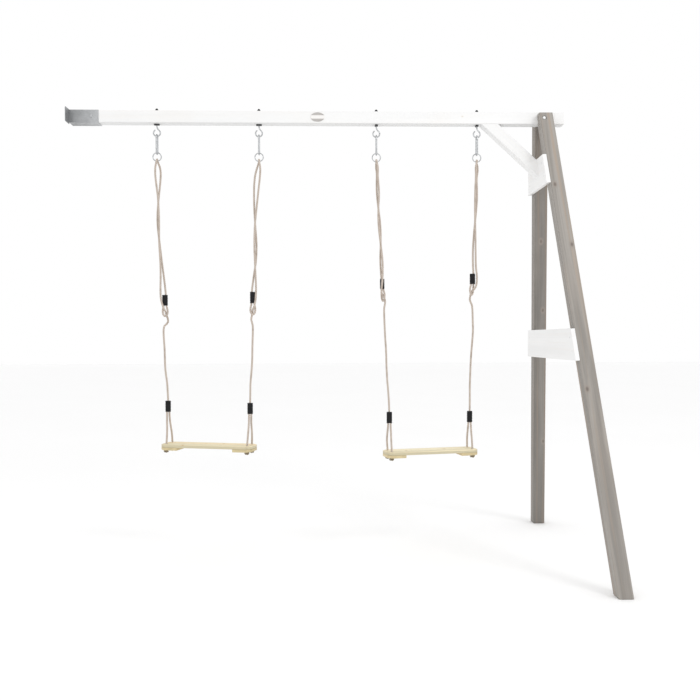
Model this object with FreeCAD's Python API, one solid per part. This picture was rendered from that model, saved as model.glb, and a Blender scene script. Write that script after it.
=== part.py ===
"""Two-seat timber swing set that hooks onto a play tower at one end and stands on an A-frame at the other.

Frame: millimetres, +X along the beam away from the tower, -Y towards the front, +Z up.
The origin is on the shoe's back face, on the beam's axis. One STEP file per sub-part goes to parts/.
"""
import FreeCAD
import Part
import math
import os

V = FreeCAD.Vector

# Beam and the ground
BEAM = 58.0
BEAM_START = 3.0
BEAM_END = 2349.0
BEAM_EDGE_R = 4.0
HALF = BEAM / 2
GROUND_Z = -2101.0

# A-frame: two legs that spread front to back and lean outwards along the beam
LEG = 62.7
LEG_EDGE_R = 4.0
LEG_TOP_X = 2250.4
LEG_TOP_Z = 15.5
LEG_TOP_Y = 33.5
SPLAY = math.radians(16.4)
LEAN = math.radians(4.14)
LEG_LENGTH = 2300.0
FOOT_CHAMFER = 3.0

# Cross boards on the tower side of the legs: distances down the A-frame from the beam's top
BOARD_T = 18.0
BOARD_H = 140.0
BOARD_EDGE_R = 2.0
UPPER_BOARD_AT = 221.5
LOWER_BOARD_AT = 1040.0

# Corner brace between the beam and the upper board
BRACE_H = 56.0
BRACE_ANGLE = math.radians(42.6)
BRACE_TOP_START_X = 2033.0

# Fasteners
SCREW_R = 2.5
SCREW_HEAD_R = 5.2
SCREW_HEAD_H = 3.2
SCREW_LENGTH = 60.0
BOLT_R = 4.0
BOLT_X = 2241.0
BOLT_Z = -11.0
BOLT_SEAT_Y = 71.0
BOLT_RECESS_R = 10.5
HEX_AF = 13.0
HEX_H = 5.3
WASHER_R = 8.5
WASHER_T = 1.6

# Shoe that carries the beam's tower end
PLATE = 2.5
SHOE_L = 138.0
WING_W = 57.0
WING_DROP = 10.0
WING_HOLE_R = 3.5
WING_HOLE_GAP = 36.0
WING_HOLE_MID_Z = -5.0
SHOE_SCREW_X = 103.0

# Oval plate on the beam's front face
BADGE_X = 1169.0
BADGE_W = 66.0
BADGE_H = 43.0
BADGE_T = 3.0

# Swing hooks
HOOK_X = (405.0, 889.0, 1450.0, 1934.0)
HOOK_SHANK_R = 4.0
HOOK_WIRE_R = 3.25
EYE_R = 16.0
EYE_Z = -71.5
EYE_JOIN = math.radians(50.0)
EYE_TIP = math.radians(-232.0)
FLANGE_L = 27.0
FLANGE_W = 14.0
FLANGE_T = 6.0
CAP_AF = 13.0
CAP_HEX_H = 8.0
CAP_WASHER_T = 1.6
CAP_DOME_R = 6.3

# Snap hooks (carabiners), which hang across the beam in the swing's eye
GAP = 0.3
SNAP_WIRE_R = 3.75
SNAP_HALF_W = 16.0
SNAP_LENGTH = 91.7
GATE_R = 3.6
GATE_PIN_UP = 22.0
GATE_TOP_DOWN = 20.0
TONGUE_T = 3.0
PIN_R = 1.4
PIN_PLAY = 0.06

# Welded rings
RING_R = 19.7
RING_WIRE_R = 2.5

# Ropes and sleeves
ROPE_R = 5.0
SLEEVE_HALF_SPAN = 5.4
SLEEVE_R = 6.9
HINGE_GAP = 1.6

# Seats
SEAT_L = 455.0
SEAT_W = 120.0
SEAT_T = 15.0
SEAT_CUT = 22.0
SEAT_EDGE_R = 3.0
CLEAT_L = 88.0
CLEAT_T = 13.0
HOLE_X = 203.0
HOLE_Y = 34.0
KNOT_R = 12.0
KNOT_DROP = 4.5

EYE_BOTTOM_Z = EYE_Z - EYE_R
SNAP_TOP_Z = EYE_BOTTOM_Z + HOOK_WIRE_R + GAP + SNAP_WIRE_R
SNAP_BOTTOM_Z = SNAP_TOP_Z - SNAP_LENGTH
RING_TOP_Z = SNAP_BOTTOM_Z + SNAP_WIRE_R + GAP + RING_WIRE_R
RING_Z = RING_TOP_Z - RING_R

# Seat of each swing: middle, top surface and turn about the vertical
SEATS = {
    1: {"x": 643.0, "top_z": -1555.5, "turn": math.radians(-14.0)},
    2: {"x": 1707.0, "top_z": -1589.5, "turn": math.radians(12.0)},
}

# Rope routes: x from the rope's hook, then y and z. Each runs from the tail in the upper sleeve,
# round the small eye, up to the ring, over it, down again, through the eye and on to the lower sleeve.
ROPE_ROUTES = {
    "swing_1_left": [
        (23.2, 24.2, -852), (22.8, 24.6, -888), (15.5, 25.5, -915), (18, 26, -935), (28.2, 26.4, -943.5),
        (38.5, 26.2, -935), (41, 25.7, -915), (33.2, 24.8, -889), (32.6, 24, -842), (28.5, 23.5, -795),
        (22.5, 23, -745), (13.5, 23, -673), (4, 20, -585), (-5.5, 14, -485), (2.5, 12.5, -385),
        (12, 10.5, -310), (15.5, 9.5, -262), (11.5, 9, -232), (4, 8.4, -214), (0, 8, -201.4),
        (0, 3.3, -196.7), (0, -3.3, -196.7), (0, -8, -201.4), (-3, -8.4, -214.5), (-8, -8, -238),
        (-8.5, -6, -275), (-3, -2, -325), (4, 0.5, -390), (6.5, 5, -485), (4.5, 8, -585),
        (9.5, 11, -673), (10.5, 14, -745), (8.5, 14.5, -805), (9, 15, -860), (20, 14, -897),
        (28, 22, -915), (31.5, 33, -931), (37, 36.5, -948), (41.5, 35, -966), (34, 31.5, -980),
        (22, 29.5, -988), (18.5, 30, -1012), (19.5, 31, -1045), (23, 33.5, -1100), (23.5, 35.5, -1170),
        (26, 37.5, -1215), (33, 39.5, -1262), (34.5, 41, -1305), (36.5, 42, -1350),
    ],
    "swing_1_right": [
        (-26, -23.6, -842), (-26, -24.6, -880), (-18.5, -25.5, -908), (-21, -26.2, -929),
        (-31, -26.6, -938.5), (-41, -26.2, -929), (-43.5, -25.6, -908), (-36, -24.7, -881),
        (-36.5, -23.2, -832), (-31, -19.5, -785), (-24, -15, -735), (-15, -11, -675), (-12.5, -7.5, -600),
        (-20, -5, -505), (-25, 0, -415), (-25.5, 4, -335), (-22, 6.5, -278), (-12, 8, -238),
        (-4, 8.4, -215.5), (0, 8, -201.4), (0, 3.3, -196.7), (0, -3.3, -196.7), (0, -8, -201.4),
        (2.5, -8.4, -214.5), (6.5, -8.8, -237), (5, -9, -275), (-2, -10, -335), (-10, -12.5, -410),
        (-20.5, -16.5, -505), (-23.5, -19, -600), (-20.5, -23.5, -690), (-16.5, -28, -760),
        (-14.5, -32, -825), (-16.5, -36, -868), (-23, -37.5, -898), (-31, -31, -912), (-33.5, -20, -925),
        (-37, -15.5, -944), (-40.5, -19, -960), (-35, -25, -974), (-30.5, -29, -995), (-31.5, -30.5, -1030),
        (-33.5, -32.5, -1090), (-34.5, -35.5, -1160), (-38, -37.5, -1210), (-43, -40, -1262),
        (-43.5, -42, -1310), (-44.5, -43, -1356),
    ],
    "swing_2_left": [
        (27.9, -22.8, -780), (27.9, -23.6, -814), (36.5, -31, -838), (35, -29, -862), (29, -20.8, -876),
        (23, -11.8, -862), (21.5, -9.8, -838), (22.1, -15, -814), (22, -14.3, -770), (18.5, -11.5, -722),
        (16.5, -9.5, -672), (19.5, -6.5, -600), (19.5, -4, -515), (9, -0.5, -428), (1.5, 2, -360),
        (1, 5, -305), (3, 7, -262), (-1, 8.5, -233), (-0.5, 8.6, -214.5), (0, 8, -201.4),
        (0, 3.3, -196.7), (0, -3.3, -196.7), (0, -8, -201.4), (3.5, -8.5, -214.5), (7.5, -9, -236),
        (5.5, -9.5, -268), (9, -10, -310), (12.5, -11.5, -365), (7.5, -13.5, -430), (8, -16, -515),
        (19, -19, -605), (27, -23, -677), (27.5, -29, -735), (24.5, -36, -785), (20, -36, -822),
        (22, -28.5, -838), (30.5, -18.5, -850), (38.5, -13.5, -866), (39.5, -15, -884), (34.5, -20.5, -902),
        (33.5, -22.5, -930), (35, -25, -975), (37.5, -27, -1040), (42.5, -29.5, -1115),
        (43.5, -32, -1185), (46.5, -34.5, -1250), (52.5, -37, -1320), (54.5, -38.3, -1362),
        (56, -39, -1403),
    ],
    "swing_2_right": [
        (-23.1, 17.8, -752), (-23.1, 18.8, -788), (-31.5, 12.2, -812), (-30, 13.5, -832),
        (-22, 20.5, -846), (-14, 26.9, -832), (-12.5, 27.8, -812), (-12.9, 19.5, -788), (-13, 17.5, -742),
        (-15.5, 21, -695), (-16, 20.5, -640), (-13, 17.5, -570), (-5, 15, -485), (3, 12, -400),
        (3.5, 10, -340), (0.5, 9.5, -285), (6.5, 9, -246), (6, 8.6, -226), (2.5, 8.4, -213.5),
        (0, 8, -201.4), (0, 3.3, -196.7), (0, -3.3, -196.7), (0, -8, -201.4), (-3, -8.4, -214),
        (-7, -8.6, -234), (-5, -7.5, -270), (-7.5, -3.5, -325), (-8.5, -0.5, -385), (-8, 3, -470),
        (-5, 7.5, -560), (-4, 9.5, -640), (-3, 11, -705), (3, 11, -752), (1.5, 9.5, -790),
        (-7, 8, -812), (-18, 13.5, -821), (-26, 25, -831), (-26, 30, -848), (-30, 28.5, -864),
        (-26, 24.5, -878), (-19.5, 22.5, -892), (-17, 23, -918), (-16, 24.5, -960), (-13.5, 26.5, -1020),
        (-19, 29, -1085), (-24, 31, -1150), (-26, 33.5, -1215), (-28.5, 35.5, -1280), (-28, 37.5, -1345),
        (-28.5, 39.5, -1408),
    ],
}

# Seat rope routes, in the same terms: knot, up through the seat, a fold in the lower sleeve, down again
SEAT_ROPE_ROUTES = {
    "swing_1_left": [
        (31.8, 16.1, -1592), (31.9, 16.5, -1552), (34, 25, -1505), (32, 34, -1455), (30.5, 41, -1412),
        (29.5, 43, -1388), (29.7, 42.8, -1366), (42.1, 42.8, -1366), (42.3, 43, -1388), (41, 46, -1412),
        (42.5, 54, -1455), (47.5, 70, -1505), (48.2, 81.8, -1552), (48.2, 82.4, -1592),
    ],
    "swing_1_right": [
        (-56.3, -82.4, -1592), (-56, -81.8, -1552), (-52.5, -69.5, -1505), (-50, -56, -1460),
        (-49.5, -47, -1417), (-51, -44.5, -1394), (-50.8, -44.3, -1372), (-38.4, -44.3, -1372),
        (-38.2, -44.5, -1394), (-39.5, -42.5, -1417), (-40.5, -33.5, -1460), (-38, -22.5, -1505),
        (-39.6, -16.8, -1552), (-39.9, -16.4, -1592),
    ],
    "swing_2_left": [
        (64.6, -75.6, -1626), (64.4, -75.2, -1587), (63, -67, -1540), (62, -55.5, -1500),
        (61.5, -44, -1465), (62.5, -40.8, -1441), (62.3, -40.6, -1419), (49.9, -40.6, -1419),
        (49.7, -40.8, -1441), (50.5, -38.5, -1465), (47.5, -28, -1500), (45, -16.5, -1540),
        (50, -9.6, -1587), (50.4, -9.1, -1626),
    ],
    "swing_2_right": [
        (-20.4, 9.2, -1626), (-20.7, 9.8, -1587), (-21.5, 19, -1545), (-23, 29, -1507),
        (-23.5, 38.5, -1471), (-22.3, 40, -1446), (-22.5, 39.8, -1424), (-34.9, 39.8, -1424),
        (-35.1, 40, -1446), (-34.5, 43, -1471), (-36.5, 52.5, -1507), (-37.5, 65, -1545),
        (-34.8, 75, -1587), (-34.6, 75.7, -1626),
    ],
}

# Sleeves: middle of the top and bottom end (x from the rope's hook), and the turn of their long section
UPPER_SLEEVES = {
    "swing_1_left": ((28, 24, -840), (28, 24.8, -891), 0.0),
    "swing_1_right": ((-31.2, -23.2, -829), (-31.1, -24.7, -882), 0.0),
    "swing_2_left": ((25, -18.5, -768), (25, -19.6, -816), -55.0),
    "swing_2_right": ((-18, 17.5, -740), (-18, 19, -790), 0.0),
}
LOWER_SLEEVES = {
    "swing_1_left": ((36, 42.5, -1350), (35.8, 43.6, -1403), 0.0),
    "swing_1_right": ((-44.5, -43.6, -1356), (-44.5, -44.6, -1408), 0.0),
    "swing_2_left": ((56, -39.6, -1403), (56, -41, -1456), 0.0),
    "swing_2_right": ((-28.6, 39.6, -1408), (-28.9, 40.6, -1462), 0.0),
}


def box(x0, x1, y0, y1, z0, z1):
    """Box between two corners."""
    return Part.makeBox(x1 - x0, y1 - y0, z1 - z0, V(x0, y0, z0))


def rod(radius, start, end):
    """Round bar from start to end."""
    return Part.makeCylinder(radius, (end - start).Length, start, end - start)


def prism(points, way):
    """Solid swept from a closed flat outline along a straight way."""
    outline = Part.makePolygon(points + points[:1])
    return Part.Face(outline).extrude(way)


def hexagon(across, start, axis, height):
    """Hexagonal bar with its axis along +Y or +Z from start."""
    radius = across / math.sqrt(3)
    side = V(1, 0, 0)
    other = axis.cross(side)
    corners = []
    for index in range(6):
        angle = math.radians(60 * index)
        corners.append(start + side * (radius * math.cos(angle)) + other * (radius * math.sin(angle)))
    return prism(corners, axis * height)


def long_edges(shape, way, least):
    """Straight edges of a shape that run along a direction and are at least so long."""
    found = []
    for edge in shape.Edges:
        ends = edge.Vertexes
        if len(ends) != 2 or edge.Length < least:
            continue
        run = ends[1].Point - ends[0].Point
        if run.cross(way).Length < 1e-6 * run.Length:
            found.append(edge)
    return found


def round_long_edges(shape, way, radius, least):
    """Fillet the edges that run along a direction."""
    return shape.makeFillet(radius, long_edges(shape, way, least))


def turned(x, y, angle):
    """A horizontal offset turned about the vertical."""
    return V(x * math.cos(angle) - y * math.sin(angle), x * math.sin(angle) + y * math.cos(angle), 0)


def rounded_path(points):
    """Straight runs joined by tangent arcs as large as the runs allow: edges, length and least radius."""
    edges = []
    here = points[0]
    length = 0.0
    least = None
    for index in range(1, len(points) - 1):
        corner = points[index]
        back = points[index - 1] - corner
        ahead = points[index + 1] - corner
        cut = 0.45 * min(back.Length, ahead.Length)
        back.normalize()
        ahead.normalize()
        turn = math.pi - back.getAngle(ahead)
        radius = cut / math.tan(turn / 2)
        least = radius if least is None else min(least, radius)
        start = corner + back * cut
        end = corner + ahead * cut
        inward = back + ahead
        inward.normalize()
        reach = radius / math.cos(turn / 2) - radius
        middle = corner + inward * reach
        edges.append(Part.LineSegment(here, start).toShape())
        edges.append(Part.Arc(start, middle, end).toShape())
        length += (start - here).Length + radius * turn
        here = end
    edges.append(Part.LineSegment(here, points[-1]).toShape())
    length += (points[-1] - here).Length
    return edges, length, least


def swept(edges, radius):
    """Round section swept along a smooth path."""
    path = Part.Wire(edges)
    start = edges[0].valueAt(edges[0].FirstParameter)
    way = edges[0].tangentAt(edges[0].FirstParameter)
    section = Part.Wire(Part.Circle(start, way, radius).toShape())
    return path.makePipeShell([section], True, False)


def rope_tube(name, points):
    """Rope as one tube; prints its length, least radius and how its volume compares."""
    edges, length, least = rounded_path(points)
    tube = swept(edges, ROPE_R)
    share = tube.Volume / (math.pi * ROPE_R ** 2 * length)
    print(f"{name}: length {length:.0f}, least radius {least:.1f}, volume share {share:.4f}")
    return tube


# Beam and A-frame

DOWN = V(math.sin(LEAN), 0, -math.cos(LEAN))
NORMAL = V(math.cos(LEAN), 0, math.sin(LEAN))
FRAME_TOP = V(LEG_TOP_X, 0, HALF)


def in_frame(across, down, off=0.0):
    """Point in the A-frame's leaning plane."""
    return FRAME_TOP + V(0, across, 0) + DOWN * down + NORMAL * off


def leg_edge(down):
    """Distance of a leg's outer face from the A-frame's middle, so far down the plane."""
    return LEG_TOP_Y + down * math.tan(SPLAY) + LEG / 2 / math.cos(SPLAY)


def screw(head, way):
    """Countersunk screw whose head lies flush at a point; way points into the wood."""
    cone = Part.makeCone(SCREW_HEAD_R, SCREW_R, SCREW_HEAD_H, head, way)
    shank = Part.makeCylinder(SCREW_R, SCREW_LENGTH - 6, head, way)
    tip = Part.makeCone(SCREW_R, 0.4, 6, head + way * (SCREW_LENGTH - 6), way)
    return cone.fuse(shank).fuse(tip).removeSplitter()


def frame_screws():
    """Screws of both cross boards and of the corner brace."""
    heads = []
    for top in (UPPER_BOARD_AT, LOWER_BOARD_AT):
        for side in (-1, 1):
            for part_way in (0.28, 0.72):
                down = top + BOARD_H * part_way
                across = side * (leg_edge(down) - LEG / 2 / math.cos(SPLAY))
                heads.append((in_frame(across, down, -LEG / 2 - BOARD_T), NORMAL))
    brace_way = V(math.cos(BRACE_ANGLE), 0, -math.sin(BRACE_ANGLE))
    brace_up = V(math.sin(BRACE_ANGLE), 0, math.cos(BRACE_ANGLE))
    for side in (-1, 1):
        foot = V(BRACE_TOP_START_X, side * 13, -HALF) - brace_up * BRACE_H
        heads.append((foot + brace_way * (10 * side - 22), brace_up))
        heads.append((in_frame(side * 13, UPPER_BOARD_AT + 34 + 6 * side, -LEG / 2), NORMAL * -1))
    return [screw(head, way) for head, way in heads]


def leg(side):
    """One post: long section, notched over the beam and cut level at both ends."""
    along = DOWN * math.cos(SPLAY) + V(0, side * math.sin(SPLAY), 0)
    across = V(0, side * math.cos(SPLAY), 0) - DOWN * math.sin(SPLAY)
    start = in_frame(side * LEG_TOP_Y, 0) - along * 60
    corners = [start + NORMAL * (a * LEG / 2) + across * (b * LEG / 2)
               for a, b in ((-1, -1), (1, -1), (1, 1), (-1, 1))]
    post = round_long_edges(prism(corners, along * LEG_LENGTH), along, LEG_EDGE_R, 500)
    far = 3000.0
    post = post.cut(box(0, far, -far, far, LEG_TOP_Z, far))
    post = post.cut(box(0, far, -far, far, GROUND_Z - far, GROUND_Z))
    post = post.cut(box(0, BEAM_END, -HALF, HALF, -HALF, HALF + 1))
    post = post.cut(box(BEAM_END, far, -far if side > 0 else 0, 0 if side > 0 else far, -HALF, far))
    return post


def foot_rims(post):
    """Straight edges round a foot's ground face."""
    rims = []
    for edge in post.Edges:
        if all(abs(v.Point.z - GROUND_Z) < 0.01 for v in edge.Vertexes) and edge.Length > 20:
            rims.append(edge)
    return rims


def cross_board(top):
    """Flat board on the tower side of both legs, its ends flush with their outer faces."""
    bottom = top + BOARD_H
    off = -LEG / 2
    corners = [in_frame(-leg_edge(top), top, off), in_frame(leg_edge(top), top, off),
               in_frame(leg_edge(bottom), bottom, off), in_frame(-leg_edge(bottom), bottom, off)]
    board = prism(corners, NORMAL * -BOARD_T)
    return round_long_edges(board, V(0, 1, 0), BOARD_EDGE_R, 100)


def corner_brace():
    """Sloping strut from the beam's underside to the upper cross board."""
    way = V(math.cos(BRACE_ANGLE), 0, -math.sin(BRACE_ANGLE))
    up = V(math.sin(BRACE_ANGLE), 0, math.cos(BRACE_ANGLE))
    start = V(BRACE_TOP_START_X, -HALF, -HALF) - way * 120
    corners = [start, start - up * BRACE_H, start - up * BRACE_H + way * 480, start + way * 480]
    strut = round_long_edges(prism(corners, V(0, BEAM, 0)), way, BEAM_EDGE_R, 300)
    strut = strut.cut(box(1500, 2500, -100, 100, -HALF, 200))
    face = in_frame(0, 0, -LEG / 2 - BOARD_T)
    outline = ((-100, -50), (100, -50), (100, 600), (-100, 600))
    behind = prism([face + V(0, y, 0) + DOWN * d for y, d in outline],
                   NORMAL * 400)
    return strut.cut(behind)


def leg_bolt_parts():
    """Through bolt along Y with its nut and two washers, seated in flat recesses of the legs."""
    axis = V(0, 1, 0)
    middle = V(BOLT_X, 0, BOLT_Z)
    head_at = middle + axis * -(BOLT_SEAT_Y + WASHER_T + HEX_H)
    shank_at = middle + axis * -(BOLT_SEAT_Y + WASHER_T)
    bolt = hexagon(HEX_AF, head_at, axis, HEX_H)
    dome = Part.makeSphere(HEX_AF * 0.62, head_at + axis * HEX_H * 0.95)
    bolt = bolt.common(dome.fuse(Part.makeCylinder(HEX_AF, HEX_H / 2, head_at + axis * HEX_H / 2, axis)))
    bolt = bolt.fuse(Part.makeCylinder(BOLT_R, 2 * (BOLT_SEAT_Y + WASHER_T) + 9, shank_at, axis))
    nut_at = middle + axis * (BOLT_SEAT_Y + WASHER_T)
    nut = hexagon(HEX_AF, nut_at, axis, HEX_H + 1).cut(Part.makeCylinder(BOLT_R, 40, nut_at - axis * 5, axis))
    washers = []
    for start in (middle + axis * -(BOLT_SEAT_Y + WASHER_T), middle + axis * BOLT_SEAT_Y):
        ring = Part.makeCylinder(WASHER_R, WASHER_T, start, axis)
        washers.append(ring.cut(Part.makeCylinder(BOLT_R, WASHER_T + 2, start - axis, axis)))
    return bolt.removeSplitter(), nut, washers


def bolt_tool():
    """Bolt hole through beam and legs with the two flat recesses."""
    axis = V(0, 1, 0)
    middle = V(BOLT_X, 0, BOLT_Z)
    hole = Part.makeCylinder(BOLT_R, 400, middle - axis * 200, axis)
    front = Part.makeCylinder(BOLT_RECESS_R, 60, middle - axis * (BOLT_SEAT_Y + 60), axis)
    rear = Part.makeCylinder(BOLT_RECESS_R, 60, middle + axis * BOLT_SEAT_Y, axis)
    return hole.fuse(front).fuse(rear)


# Shoe

def shoe_screws():
    """Pan-head screws through both side plates into the beam."""
    screws = []
    for side in (-1, 1):
        inward = V(0, -side, 0)
        face = V(SHOE_SCREW_X, side * (HALF + PLATE), 0)
        head = Part.makeCylinder(6.5, 3.4, face - inward * 3.4, inward)
        rim = [edge for edge in head.Edges if len(edge.Vertexes) == 1
               and abs(edge.Vertexes[0].Point.y - (face - inward * 3.4).y) < 0.01]
        head = head.makeFillet(1.6, rim)
        shank = Part.makeCylinder(2.9, 26, face, inward)
        screws.append(head.fuse(shank).removeSplitter())
    return screws


def beam_shoe():
    """Folded steel channel with an outward front wing and an inward rear wing."""
    side = HALF + PLATE
    shoe = box(0, SHOE_L, -side, side, -side, HALF)
    shoe = shoe.cut(box(PLATE, SHOE_L + 1, -HALF, HALF, -HALF, HALF + 1))
    shoe = shoe.cut(box(-1, PLATE + 1, -HALF, -HALF + 1.5, -HALF, HALF + 1))
    wing = box(0, PLATE, -side - WING_W, -side, -side - WING_DROP + PLATE, HALF)
    shoe = shoe.fuse(wing).removeSplitter()
    corners = []
    for edge in shoe.Edges:
        ends = [v.Point for v in edge.Vertexes]
        if len(ends) == 2 and abs(ends[0].y + side + WING_W) < 0.01 and abs(ends[1].y + side + WING_W) < 0.01:
            if abs(abs(ends[0].x - ends[1].x) - PLATE) < 0.01:
                corners.append(edge)
    shoe = shoe.makeFillet(6.0, corners)
    for y in (-side - WING_W / 2, 0.0):
        for step in (-0.5, 0.5):
            at = V(-1, y, WING_HOLE_MID_Z + step * WING_HOLE_GAP)
            shoe = shoe.cut(Part.makeCylinder(WING_HOLE_R, PLATE + 2, at, V(1, 0, 0)))
    return shoe


def oval_badge():
    """Slightly domed oval plate with nothing written on it."""
    middle = V(BADGE_X, -HALF, 0)
    ring = Part.Ellipse(V(0, 0, 0), BADGE_W / 2, BADGE_H / 2).toShape()
    plate = Part.Face(Part.Wire(ring)).extrude(V(0, 0, BADGE_T))
    plate = plate.makeFillet(1.2, [edge for edge in plate.Edges if edge.BoundBox.ZMin > BADGE_T - 0.01])
    plate.rotate(V(0, 0, 0), V(1, 0, 0), 90)
    plate.translate(middle)
    return plate


# Hooks, snap hooks and rings

def swing_hook(x):
    """Threaded shank through the beam that turns into a round eye across the beam's length."""
    join_r = EYE_R * math.cos(EYE_JOIN) / (1 - math.cos(EYE_JOIN))
    turn_z = EYE_Z + EYE_R * math.sin(EYE_JOIN) + join_r * math.sin(EYE_JOIN)
    half = EYE_JOIN / 2

    def on_eye(angle):
        return V(x + EYE_R * math.cos(angle), 0, EYE_Z + EYE_R * math.sin(angle))

    edges = [
        Part.LineSegment(V(x, 0, 0), V(x, 0, turn_z)).toShape(),
        Part.Arc(V(x, 0, turn_z), V(x + join_r * (1 - math.cos(half)), 0, turn_z - join_r * math.sin(half)),
                 on_eye(EYE_JOIN)).toShape(),
        Part.Arc(on_eye(EYE_JOIN), on_eye((EYE_JOIN + EYE_TIP) / 2), on_eye(EYE_TIP)).toShape(),
    ]
    wire = swept(edges, HOOK_WIRE_R)
    shank = Part.makeCylinder(HOOK_SHANK_R, 2 * HALF + FLANGE_T + 10, V(x, 0, -HALF - FLANGE_T), V(0, 0, 1))
    return wire.fuse(shank).fuse(Part.makeSphere(HOOK_WIRE_R, on_eye(EYE_TIP))).removeSplitter()


def hook_flange(x, turn):
    """Oblong plate under the beam round a hook's shank."""
    plate = box(-FLANGE_L / 2, FLANGE_L / 2, -FLANGE_W / 2, FLANGE_W / 2, -HALF - FLANGE_T, -HALF)
    plate = round_long_edges(plate, V(0, 0, 1), FLANGE_W / 2 - 0.5, 1)
    plate = plate.cut(Part.makeCylinder(HOOK_SHANK_R, 20, V(0, 0, -HALF - 10), V(0, 0, 1)))
    plate.rotate(V(0, 0, 0), V(0, 0, 1), turn)
    plate.translate(V(x, 0, 0))
    return plate


def cap_nut(x):
    """Domed hexagon nut on a hook's upper end, with its washer."""
    up = V(0, 0, 1)
    start = V(x, 0, HALF + CAP_WASHER_T)
    dome_at = start + up * CAP_HEX_H
    nut = hexagon(CAP_AF, start, up, CAP_HEX_H).fuse(Part.makeSphere(CAP_DOME_R, dome_at))
    nut = nut.cut(box(x - 20, x + 20, -20, 20, 0, HALF + CAP_WASHER_T))
    nut = nut.cut(Part.makeCylinder(HOOK_SHANK_R, 10 - CAP_WASHER_T, start, up))
    washer = Part.makeCylinder(8.0, CAP_WASHER_T, V(x, 0, HALF), up)
    return nut, washer.cut(Part.makeCylinder(HOOK_SHANK_R, 10, V(x, 0, HALF - 2), up))


def snap_hook(x):
    """Open loop of thick wire in the plane across the beam, with a tongue that carries the gate's pin."""
    top = V(x, 0, SNAP_TOP_Z)
    low = V(x, 0, SNAP_BOTTOM_Z)
    up = V(0, 0, 1)
    side = V(0, SNAP_HALF_W, 0)
    upper = top - up * SNAP_HALF_W
    lower = low + up * SNAP_HALF_W
    pin_z = SNAP_BOTTOM_Z + GATE_PIN_UP
    nose = V(x, -SNAP_HALF_W, SNAP_TOP_Z - GATE_TOP_DOWN)
    heel = V(x, -SNAP_HALF_W, pin_z - GATE_R - 0.6)
    edges = [
        Part.LineSegment(nose, upper - side).toShape(),
        Part.Arc(upper - side, top, upper + side).toShape(),
        Part.LineSegment(upper + side, lower + side).toShape(),
        Part.Arc(lower + side, low, lower - side).toShape(),
        Part.LineSegment(lower - side, heel).toShape(),
    ]
    loop = swept(edges, SNAP_WIRE_R)
    half = TONGUE_T / 2
    tongue = box(x - half, x + half, -SNAP_HALF_W - 2.6, -SNAP_HALF_W + 2.6, heel.z - 3, pin_z)
    knuckle = Part.makeCylinder(2.6, TONGUE_T, V(x - half, -SNAP_HALF_W, pin_z), V(1, 0, 0))
    bore = Part.makeCylinder(PIN_R, 20, V(x - 10, -SNAP_HALF_W, pin_z), V(1, 0, 0))
    return loop.fuse(tongue).fuse(knuckle).removeSplitter().cut(bore)


def snap_gate(x):
    """Straight bar that closes a snap hook; its lower end is slotted round the tongue."""
    pin_z = SNAP_BOTTOM_Z + GATE_PIN_UP
    top = SNAP_TOP_Z - GATE_TOP_DOWN - 0.5
    start = V(x, -SNAP_HALF_W, pin_z)
    bar = Part.makeCylinder(GATE_R, top - pin_z, start, V(0, 0, 1)).fuse(Part.makeSphere(GATE_R, start))
    half = TONGUE_T / 2 + 0.2
    bar = bar.cut(box(x - half, x + half, -SNAP_HALF_W - 8, -SNAP_HALF_W + 8, pin_z - 9, pin_z + 4.5))
    return bar.cut(Part.makeCylinder(PIN_R + PIN_PLAY, 20, V(x - 10, -SNAP_HALF_W, pin_z), V(1, 0, 0)))


def gate_pin(x):
    """Pin that a snap hook's gate turns on."""
    pin_z = SNAP_BOTTOM_Z + GATE_PIN_UP
    return Part.makeCylinder(PIN_R, 2 * GATE_R - 0.4, V(x - GATE_R + 0.2, -SNAP_HALF_W, pin_z), V(1, 0, 0))


def ring(x):
    """Welded ring that the rope hangs on."""
    return Part.makeTorus(RING_R, RING_WIRE_R, V(x, 0, RING_Z), V(0, 1, 0))


# Ropes, sleeves and seats

def placed(points, x):
    """Route points moved to their hook's place along the beam."""
    return [V(x + a, b, c) for a, b, c in points]


def sleeve(x, top, bottom, turn, ropes):
    """Tight oval sleeve over two strands of rope."""
    top = V(x + top[0], top[1], top[2])
    bottom = V(x + bottom[0], bottom[1], bottom[2])
    side = V(math.cos(math.radians(turn)), math.sin(math.radians(turn)), 0) * SLEEVE_HALF_SPAN
    way = top - bottom
    body = rod(SLEEVE_R, bottom - side, top - side).fuse(rod(SLEEVE_R, bottom + side, top + side))
    depth = side.cross(way)
    depth.normalize()
    depth = depth * SLEEVE_R
    corners = [bottom - side - depth, bottom + side - depth, bottom + side + depth, bottom - side + depth]
    body = body.fuse(prism(corners, way)).removeSplitter()
    for rope in ropes:
        body = body.cut(rope)
    return body


def plank_outline(x0, x1, cut0, cut1):
    """Outline of a board with cut corners at one or both ends, flat at z = 0."""
    half = SEAT_W / 2
    return [V(x0 + cut0, -half, 0), V(x1 - cut1, -half, 0), V(x1, -half + cut1, 0), V(x1, half - cut1, 0),
            V(x1 - cut1, half, 0), V(x0 + cut0, half, 0), V(x0, half - cut0, 0), V(x0, -half + cut0, 0)]


def clean_outline(points):
    """Outline without repeated points."""
    kept = []
    for point in points:
        if not kept or (point - kept[-1]).Length > 0.01:
            kept.append(point)
    if (kept[0] - kept[-1]).Length < 0.01:
        kept.pop()
    return kept


def seat_frame(shape, seat):
    """Shape moved from the seat's own axes to its place under the beam."""
    shape.rotate(V(0, 0, 0), V(0, 0, 1), math.degrees(seat["turn"]))
    shape.translate(V(seat["x"], 0, seat["top_z"]))
    return shape


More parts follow.
